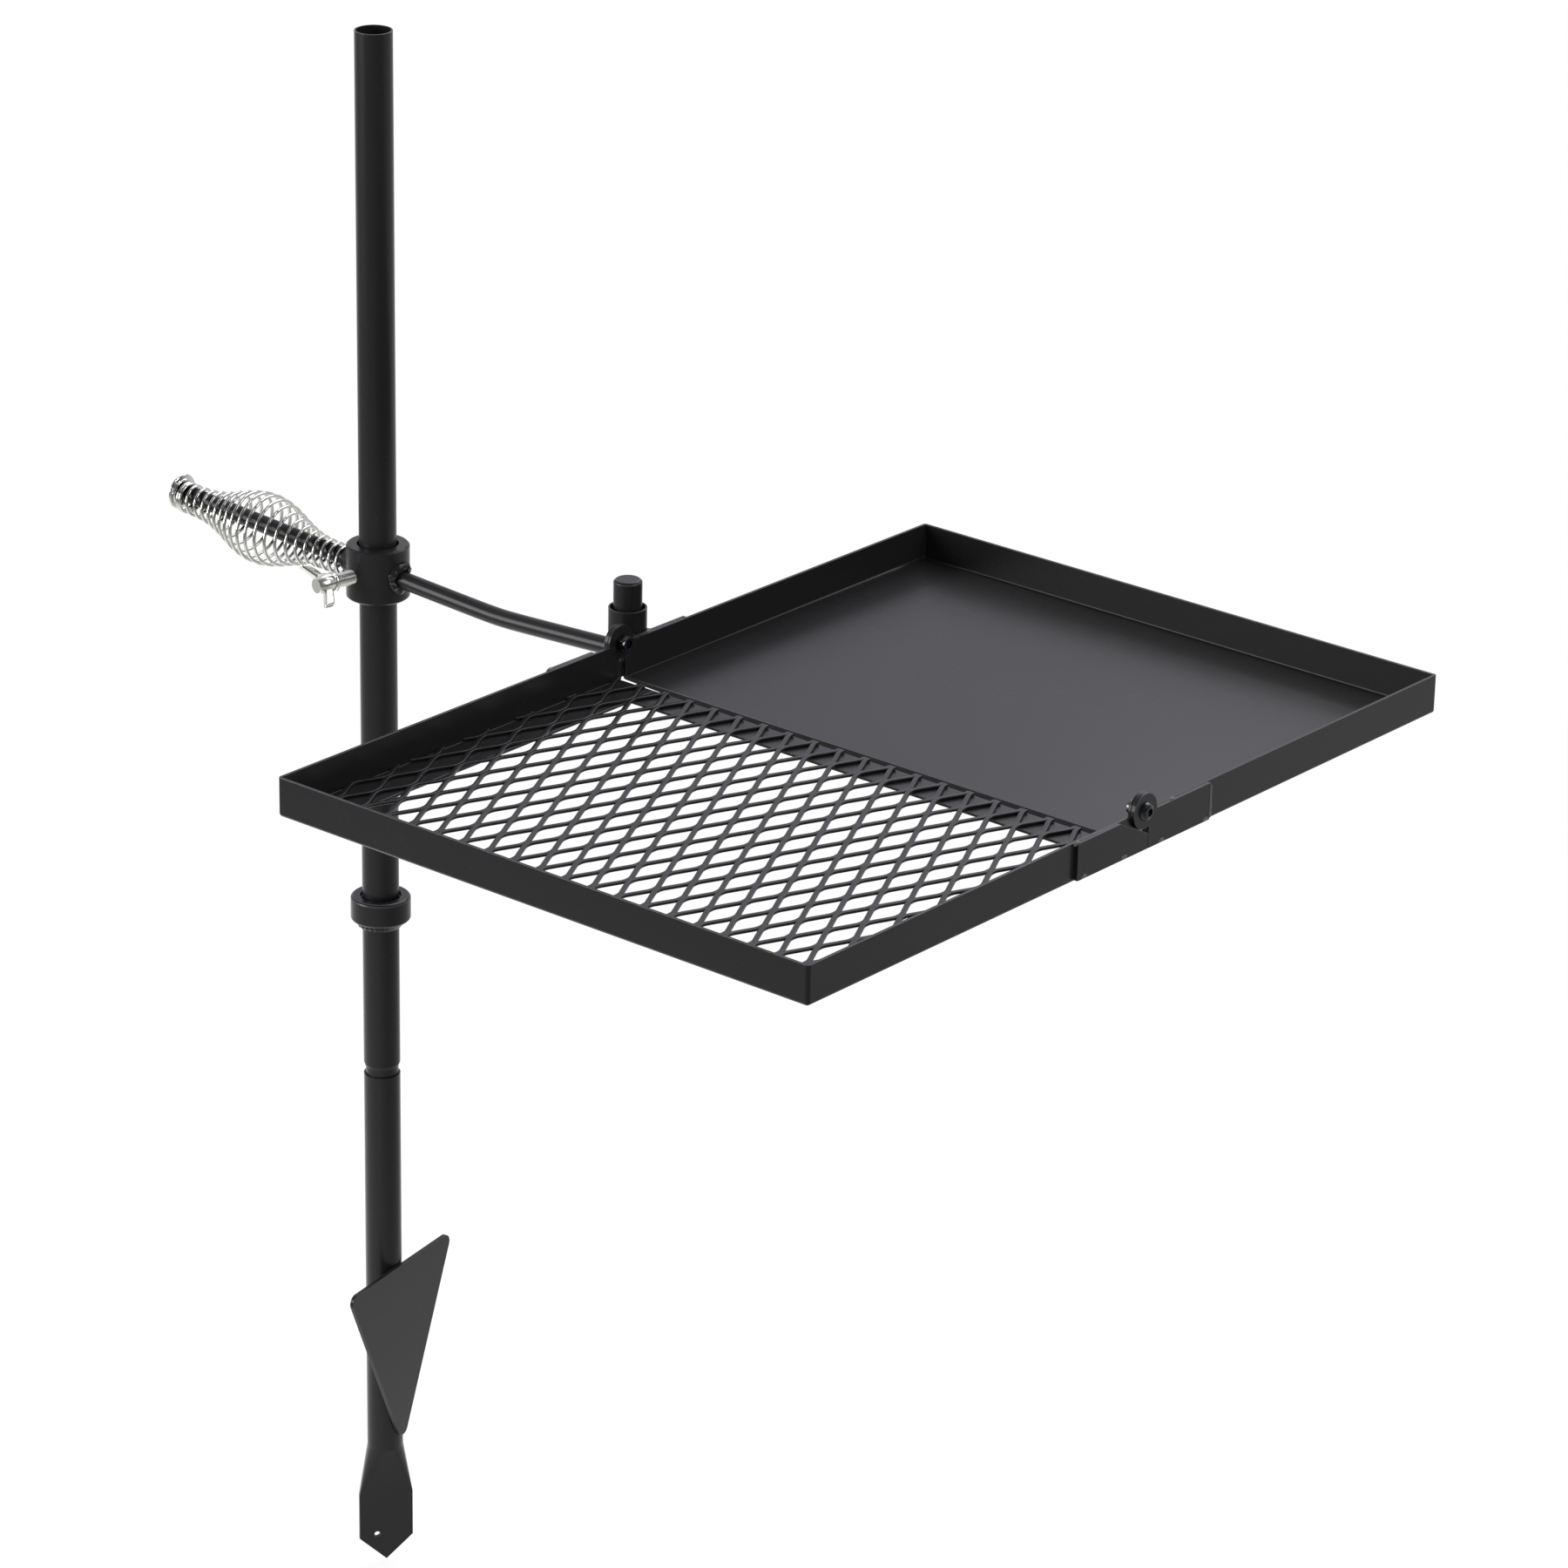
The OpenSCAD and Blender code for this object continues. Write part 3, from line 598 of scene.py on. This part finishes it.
def arm_rod():
    """The rod runs from inside the collar's wall to the pin, lowest half way."""
    middle = PIN_AT.x / 2
    points = []
    for step in range(ARM_STEPS + 1):
        x = ARM_START + (PIN_AT.x - ARM_START) * step / ARM_STEPS
        away = math.hypot(x - middle, ARM_EASING) - math.hypot(middle, ARM_EASING)
        points.append(Vector((x, 0, ROD_Z + ARM_DIP / middle * away)))
    mesh = tube("arm_rod", points, ROD_R, roundness=14)
    finish_piece("arm_rod_coated", mesh, black_coat, "arm", "arm_rod")


def rod_saddle(axis_x, face_r, around_r, outward, steps):
    """Points round a rod where it meets an upright round face."""
    points = []
    for angle in full_turn(steps):
        across = around_r * math.cos(angle)
        out = math.sqrt(face_r ** 2 - across ** 2)
        points.append(Vector((axis_x + outward * out, across,
                              ROD_Z + around_r * math.sin(angle))))
    return points


def arm_welds():
    """A heavy bead round the rod at the collar, and finer ones at the handle and the pin."""
    mesh = bmesh.new()
    add_bead(mesh, rod_saddle(0, COLLAR_R + 0.6 * MM, 7.6 * MM, 1, steps=96), 3.0 * MM,
             ripple_mm=6.5, depth=0.16, seed=1.0, lump_mm=7)
    roughen(mesh, height=1.5 * MM, size=4.0 * MM, seed=2.0)
    add_bead(mesh, rod_saddle(0, COLLAR_R, WELD_R, -1, steps=96), 1.3 * MM,
             ripple_mm=5.0, depth=0.25, seed=9.0, lump_mm=8)
    add_bead(mesh, rod_saddle(PIN_AT.x, PIN_R + 0.2 * MM, WELD_R, -1, steps=72), 1.6 * MM,
             ripple_mm=5.0, depth=0.25, seed=3.0, lump_mm=6)
    finish_piece("arm_weld_beads", mesh, weld_coat, "arm")


arm_rod()
arm_welds()


# Handle spring: chromed wire wound as a barrel that hangs loose on the rod, its last curls close
# together against the flange. Crowding below zero draws the turns together toward the collar.

SPRING_WIRE = 2.3 * MM
SPRING_FROM, SPRING_TO = 23.6 * MM, 184.2 * MM
SPRING_TURNS = 20.43
CLOSE_TURNS = 2
CLOSE_PITCH = 2.36 * MM
SPRING_CROWD = -0.074
SPRING_START = 0.08
SPRING_SAG = 2.7 * MM
BULGE_FROM, BULGE_TO = 36.4 * MM, 176.8 * MM
BULGE_POWER = 3.1
SPRING_END_R = 10.0 * MM
SPRING_MID_R = 24.0 * MM
CURL_STEPS = 28
# On the handle, Z runs out along the rod from the post's axis
ON_HANDLE = (Matrix.Translation((0, 0, ROD_Z))
             @ Matrix.Rotation(-math.pi / 2 + HANDLE_RISE, 4, "Y"))


def handle_spring():
    """One wire from the collar to the flange."""
    first = SPRING_FROM + SPRING_WIRE / 2
    close = SPRING_TO - SPRING_WIRE / 2 - CLOSE_TURNS * CLOSE_PITCH
    points = []
    for step in range(round((SPRING_TURNS + CLOSE_TURNS) * CURL_STEPS) + 1):
        turn = step / CURL_STEPS
        share = min(1.0, turn / SPRING_TURNS)
        along = share * (1 + SPRING_CROWD - SPRING_CROWD * share)
        reach = first + (close - first) * along
        bulge = min(1.0, max(0.0, reach - BULGE_FROM) / (BULGE_TO - BULGE_FROM))
        swell = math.sin(math.pi * bulge) ** BULGE_POWER
        across = SPRING_END_R + (SPRING_MID_R - SPRING_END_R) * swell
        reach += max(0.0, turn - SPRING_TURNS) * CLOSE_PITCH
        angle = 2 * math.pi * (turn + SPRING_START)
        points.append(ON_HANDLE @ Vector((across * math.cos(angle) - SPRING_SAG,
                                          across * math.sin(angle), reach)))
    mesh = tube("handle_spring", points, SPRING_WIRE / 2, roundness=3)
    finish_piece("handle_spring_wire", mesh, chrome, "arm", "handle_spring", sharp=60)


def handle_flange():
    """A stepped washer that flares away from the spring's last curl."""
    mesh = turned([(6.05, 187.4), (11.8, 187.4), (12.3, 187.2), (12.5, 186.8), (12.3, 186.3),
                   (11.5, 185.8), (10.6, 185.5), (9.9, 185.3), (9.5, 184.9), (9.2, 184.4),
                   (8.6, 184.25), (6.05, 184.25), (6.05, 187.4)])
    bmesh.ops.transform(mesh, matrix=ON_HANDLE, verts=mesh.verts)
    finish_piece("handle_flange_plated", mesh, chrome, "arm", "handle_flange", sharp=50)


handle_spring()
handle_flange()


# Wing screw: rolled thread, skirt, round hub and two raked wings. Its profile is in millimetres.

SCREW_TIP, SCREW_HUB, SCREW_END = 12.8, 38.0, 51.0
THREAD_PITCH, THREAD_CREST, THREAD_ROOT = 1.0, 5.0, 4.62
WING_SIZE = (13 * MM, 5.4 * MM, 6.6 * MM)
WING_AT = (11.0 * MM, 0, (SCREW_HUB + 6.0) * MM)
WING_TAPER = 0.9
WING_SPREAD = 1.2
WING_RAKE = 6.5 * MM
WING_ROUND = 1.5 * MM
WING_TURN = math.radians(144)


def wing_screw():
    """The turned screw first, then the wings, then the whole set in the collar's wall."""
    tip, hub, end = SCREW_TIP, SCREW_HUB, SCREW_END
    crest, root = THREAD_CREST, THREAD_ROOT
    thread_from, thread_to = tip + 1.2, hub - 3.2
    profile = [(0, tip), (root - 0.3, tip), (root, tip + 0.5)]
    for ridge in range(int((thread_to - thread_from) / THREAD_PITCH)):
        foot = thread_from + ridge * THREAD_PITCH
        profile += [(root, foot), (crest, foot + 0.38), (crest, foot + 0.6), (root, foot + 0.98)]
    profile += [(crest, hub - 2.4), (crest, hub - 2.0), (6.5, hub - 1.9), (6.9, hub - 1.5),
                (6.9, hub - 0.5), (6.5, hub - 0.1), (6.0, hub + 0.2), (6.6, hub + 2.0),
                (7.2, hub + 5.0), (7.0, hub + 8.0), (6.2, hub + 10.6), (5.5, end - 0.6),
                (5.0, end), (0, end)]
    mesh = turned(profile, steps=48)
    for side in (0, math.pi):
        wing = bmesh.ops.create_cube(mesh, size=1.0)["verts"]
        bmesh.ops.scale(mesh, vec=WING_SIZE, verts=wing)
        for vert in wing:
            if vert.co.x > 0:
                vert.co.y *= WING_TAPER
                vert.co.z = vert.co.z * WING_SPREAD + WING_RAKE
        bmesh.ops.translate(mesh, vec=WING_AT, verts=wing)
        bmesh.ops.rotate(mesh, cent=(0, 0, 0), matrix=Matrix.Rotation(side, 3, "Z"), verts=wing)
        round_edges(mesh, {e for v in wing for e in v.link_edges}, WING_ROUND, segments=4)
    place = (Matrix.Rotation(-SCREW_TURN, 4, "Z") @ Matrix.Translation((0, 0, ROD_Z))
             @ Matrix.Rotation(math.pi / 2, 4, "X") @ Matrix.Rotation(WING_TURN, 4, "Z"))
    bmesh.ops.transform(mesh, matrix=place, verts=mesh.verts)
    finish_piece("wing_screw_plated", mesh, zinc, "clamp_screw", "wing_screw", sharp=50)


wing_screw()


# Weld spots and beads at the hinge brackets, the same on both sides of the tray

FACE_SPOT = Vector((1.2 * MM, 2.9 * MM, 1.5 * MM))
RIM_SPOT = Vector((1.5 * MM, 3.2 * MM, 1.6 * MM))
FOOT_SPOT = Vector((1.6 * MM, 1.6 * MM, 2.0 * MM))


def both_sides(place):
    """A place on the tray's front side and the matching one on its back side."""
    return place, Vector((2 * TRAY_MID_X - place.x, place.y, place.z))


def hinge_welds():
    """Spots along each bracket's foot and at the rim, and a bead up the griddle bracket's end."""
    face = BRACKET_HIGH.x
    low = BRACKET_LOW.z
    rim = END_HIGH.z
    wall = END_HIGH.x
    fold = FOLD_AT.y
    grate_end = GRATE_BRACKET_LOW.y
    griddle_end = BRACKET_HIGH.y
    for body, spots, rim_y in (
        ("grate", ((grate_end + 6 * MM, 1.0), (grate_end + 46 * MM, 2.0)), grate_end + 1 * MM),
        ("griddle", ((fold + 17 * MM, 3.0), (griddle_end - 4 * MM, 4.0)), fold + 29 * MM),
    ):
        mesh = bmesh.new()
        for y, seed in spots:
            for place in both_sides(Vector((face - 0.4 * MM, y, low + 1.7 * MM))):
                add_tack(mesh, place, FACE_SPOT, seed)
        for place in both_sides(Vector((wall + 1.0 * MM, rim_y, rim - 0.6 * MM))):
            add_tack(mesh, place, RIM_SPOT, seed=6.0)
        # The spots take the paler grey coat, a painted highlight
        finish_piece(body + "_hinge_spots", mesh, spot_highlight_coat, body)
    mesh = bmesh.new()
    for start in both_sides(Vector((face - 0.6 * MM, griddle_end + 0.3 * MM, low + 2 * MM))):
        end = Vector((start.x, start.y, rim - 1 * MM))
        add_bead(mesh, straight_run(start, end), 1.2 * MM, ripple_mm=2.6, depth=0.3, seed=start.x)
        add_tack(mesh, start + Vector((0, 0, 1 * MM)), FOOT_SPOT, seed=7.0)
    # The bead and its foot spot take the paler grey coat, a painted highlight
    finish_piece("griddle_hinge_beads", mesh, spot_highlight_coat, "griddle")


hinge_welds()


# Beads at the sleeve, the fin and the stop ring

SLEEVE_WELD_Y = 8.4 * MM
FIN_WELD_Y = 6.6 * MM
FIN_WELD_DOWN = 12 * MM
FIN_WELD_LONG = 66 * MM


def sleeve_welds():
    """An upright bead on either side of the sleeve, where it meets the back bracket."""
    mesh = bmesh.new()
    x = 2 * TRAY_MID_X - BRACKET_HIGH.x - 1.6 * MM
    for side in (-1, 1):
        start = Vector((x, SLEEVE_WELD_Y * side, SLEEVE_LOW.z + 1 * MM))
        end = start + Vector((0, 0, END_HIGH.z - 1.5 * MM - start.z))
        add_bead(mesh, straight_run(start, end), 2.1 * MM, ripple_mm=2.6, depth=0.35, seed=side)
    finish_piece("pivot_sleeve_welds", mesh, weld_coat, "griddle")


def stake_welds():
    """A bead down either face of the fin, along the stake."""
    mesh = bmesh.new()
    turn = Matrix.Rotation(STAKE_TURN, 4, "Z")
    for side in (-1, 1):
        start = turn @ Vector((TUBE_R - 1.2 * MM, side * FIN_WELD_Y, FIN_HIGH.z - FIN_WELD_DOWN))
        end = start - Vector((0, 0, FIN_WELD_LONG))
        add_bead(mesh, straight_run(start, end, steps=64), 2.3 * MM,
                 ripple_mm=3.2, depth=0.3, seed=side)
    finish_piece("stake_fin_welds", mesh, weld_coat, "stake")


def ring_weld():
    """A bead round the post in the recess under the stop ring."""
    mesh = bmesh.new()
    radius = TUBE_R + 1.6 * MM
    ring = [Vector((radius * math.cos(a), radius * math.sin(a), RING_LOW.z + 3.2 * MM))
            for a in full_turn(120)]
    add_bead(mesh, ring, 2.2 * MM, ripple_mm=3.4, depth=0.3, seed=2.0)
    finish_piece("stop_ring_weld", mesh, weld_coat, "post")


sleeve_welds()
stake_welds()
ring_weld()


# Camera at the photograph's viewpoint

CAMERA_AT = Vector((2.6856, -2.7893, 1.9284))
CAMERA_AZIMUTH = math.radians(39.836)
CAMERA_ELEVATION = math.radians(22.089)
CAMERA_ROLL = math.radians(1.053)
camera_data = bpy.data.cameras.new("camera")
camera_data.lens = 140.5
camera_data.sensor_width = 36.0
camera_data.clip_end = 60.0
camera = bpy.data.objects.new("camera", camera_data)
camera.matrix_world = (Matrix.Translation(CAMERA_AT)
                       @ Matrix.Rotation(CAMERA_AZIMUTH, 4, "Z")
                       @ Matrix.Rotation(math.pi / 2 - CAMERA_ELEVATION, 4, "X")
                       @ Matrix.Rotation(CAMERA_ROLL, 4, "Z"))
bpy.context.scene.collection.objects.link(camera)
bpy.context.scene.camera = camera
bpy.context.scene.view_settings.view_transform = "Standard"


# White floor that keeps a soft shadow near the stake, and a white sweep behind it. The room in
# front is dim, so that what mirrors it stays dark.

SWEEP = Vector((-math.sin(CAMERA_AZIMUTH), math.cos(CAMERA_AZIMUTH), 0))
ASIDE = Vector((math.cos(CAMERA_AZIMUTH), math.sin(CAMERA_AZIMUTH), 0))
FAR_SIDE = SWEEP + ASIDE * 0.5
FLOOR_SIZE = 14.0
FLOOR_GAP = 2 * MM
ROOM_LEVEL = 0.2
FILL_LEVEL = 0.5
TRAY_MIDDLE = Vector((0.45, -0.02, 0.5))


def seen_rays(tree, *kinds):
    """One where a ray is of any of these kinds, else zero."""
    rays = add(tree, "ShaderNodeLightPath")
    seen = rays.outputs[kinds[0]]
    for kind in kinds[1:]:
        seen = add(tree, "ShaderNodeMath", LARGER, None,
                   {0: seen, 1: rays.outputs[kind]}).outputs[0]
    return seen


def white_floor():
    """Plain white to the eye. Mirrored rays see it glow with painted light: dim in front and
    bright by the stake, which is what the coat's sheen shows.
    """
    mesh = bmesh.new()
    bmesh.ops.create_grid(mesh, x_segments=2, y_segments=2, size=FLOOR_SIZE,
                          matrix=Matrix.Translation((0, 0, STAKE_LOW.z - FLOOR_GAP)))
    data = bpy.data.meshes.new("studio_floor")
    mesh.to_mesh(data)
    mesh.free()
    floor = bpy.data.objects.new("studio_floor", data)
    bpy.context.scene.collection.objects.link(floor)
    material, tree, output, place = new_material("white_floor")
    far = add(tree, "ShaderNodeVectorMath", {"operation": "LENGTH"}, None, {0: place})
    fade = add(tree, "ShaderNodeMapRange", SMOOTH, ramp(0.5, 2.0, 0.75, 1.0),
               {"Value": far.outputs["Value"]})
    away = add(tree, "ShaderNodeVectorMath", DOT, {1: FAR_SIDE}, {0: place})
    # Painted light seen only in mirrors: the floor glows dimmer toward the front, brighter far off
    painted_falloff = add(tree, "ShaderNodeMapRange", SMOOTH, ramp(-1.0, 1.6, 0.42, 0.95),
                {"Value": away.outputs["Value"]})
    # A painted patch of light round the stake, brightest on the lit side
    near_glow = add(tree, "ShaderNodeMapRange", SMOOTH, ramp(0.2, 2.7, 1.1, 0.0),
                    {"Value": far.outputs["Value"]})
    aside = add(tree, "ShaderNodeVectorMath", DOT, {1: ASIDE}, {0: place})
    lit_side = add(tree, "ShaderNodeMapRange", SMOOTH, ramp(-0.5, 1.0, 1.0, 0.0),
                   {"Value": aside.outputs["Value"]})
    # Painted light that mirrored rays see: the falloff plus the patch by the stake
    painted_light_pool = add(tree, "ShaderNodeMath", {"operation": "MULTIPLY_ADD"}, None,
               {0: near_glow.outputs["Result"], 1: lit_side.outputs["Result"],
                2: painted_falloff.outputs["Result"]})
    camera_rays = seen_rays(tree, "Is Camera Ray")
    mirrored = seen_rays(tree, "Is Glossy Ray", "Is Transmission Ray")
    strength = add(tree, "ShaderNodeMix", LEVELS, {"B": 1.0},
                   {"Factor": camera_rays, "A": painted_light_pool.outputs[0]})
    lit = add(tree, "ShaderNodeMath", {"operation": "MULTIPLY"}, None,
              {0: camera_rays, 1: fade.outputs["Result"]})
    share = add(tree, "ShaderNodeMath", LARGER, None, {0: lit.outputs[0], 1: mirrored})
    matt = add(tree, "ShaderNodeBsdfDiffuse", None, {"Color": linear("#f7f7f7")})
    glow = add(tree, "ShaderNodeEmission", None, {"Color": linear("#ffffff")},
               {"Strength": strength.outputs["Result"]})
    mix = add(tree, "ShaderNodeMixShader", None, None,
              {0: share.outputs[0], 1: matt.outputs["BSDF"], 2: glow.outputs["Emission"]})
    tree.links.new(mix.outputs["Shader"], output.inputs["Surface"])
    data.materials.append(material)


def white_studio():
    """White to the eye. What mirrors it sees a white sweep behind and a dim room in front."""
    world = bpy.data.worlds.new("white_studio")
    bpy.context.scene.world = world
    world.use_nodes = True
    tree = world.node_tree
    tree.nodes.clear()
    way = add(tree, "ShaderNodeTexCoord").outputs["Generated"]
    behind = add(tree, "ShaderNodeVectorMath", DOT, {1: SWEEP}, {0: way})
    sweep = add(tree, "ShaderNodeMapRange", SMOOTH, ramp(-0.25, 0.35, ROOM_LEVEL, 1.0),
                {"Value": behind.outputs["Value"]})
    mirrored = seen_rays(tree, "Is Glossy Ray", "Is Transmission Ray")
    room = add(tree, "ShaderNodeMix", LEVELS, {"A": FILL_LEVEL},
               {"Factor": mirrored, "B": sweep.outputs["Result"]})
    level = add(tree, "ShaderNodeMix", LEVELS, {"B": 1.0},
                {"Factor": seen_rays(tree, "Is Camera Ray"), "A": room.outputs["Result"]})
    tint = add(tree, "ShaderNodeMix", COLOURS, {"A": linear("#ffffff"), "B": linear("#f3f2ff")},
               {"Factor": mirrored})
    sky = add(tree, "ShaderNodeBackground", None, None,
              {"Color": tint.outputs["Result"], "Strength": level.outputs["Result"]})
    add(tree, "ShaderNodeOutputWorld", None, None, {"Surface": sky.outputs["Background"]})


def softbox(name, at, size, power):
    """A square area lamp at a point, facing the tray."""
    lamp = bpy.data.lights.new(name, "AREA")
    lamp.shape = "SQUARE"
    lamp.size = size
    lamp.energy = power
    holder = bpy.data.objects.new(name, lamp)
    facing = (TRAY_MIDDLE - Vector(at)).to_track_quat("-Z", "Y")
    holder.matrix_world = Matrix.Translation(at) @ facing.to_matrix().to_4x4()
    bpy.context.scene.collection.objects.link(holder)


white_floor()
white_studio()
softbox("overhead_softbox", (0.2, 1.6, 2.6), size=2.2, power=50)
softbox("key_softbox", (2.6, 0.4, 2.2), size=1.4, power=36)
softbox("front_softbox", (-1.4, -2.3, 1.2), size=1.6, power=90)
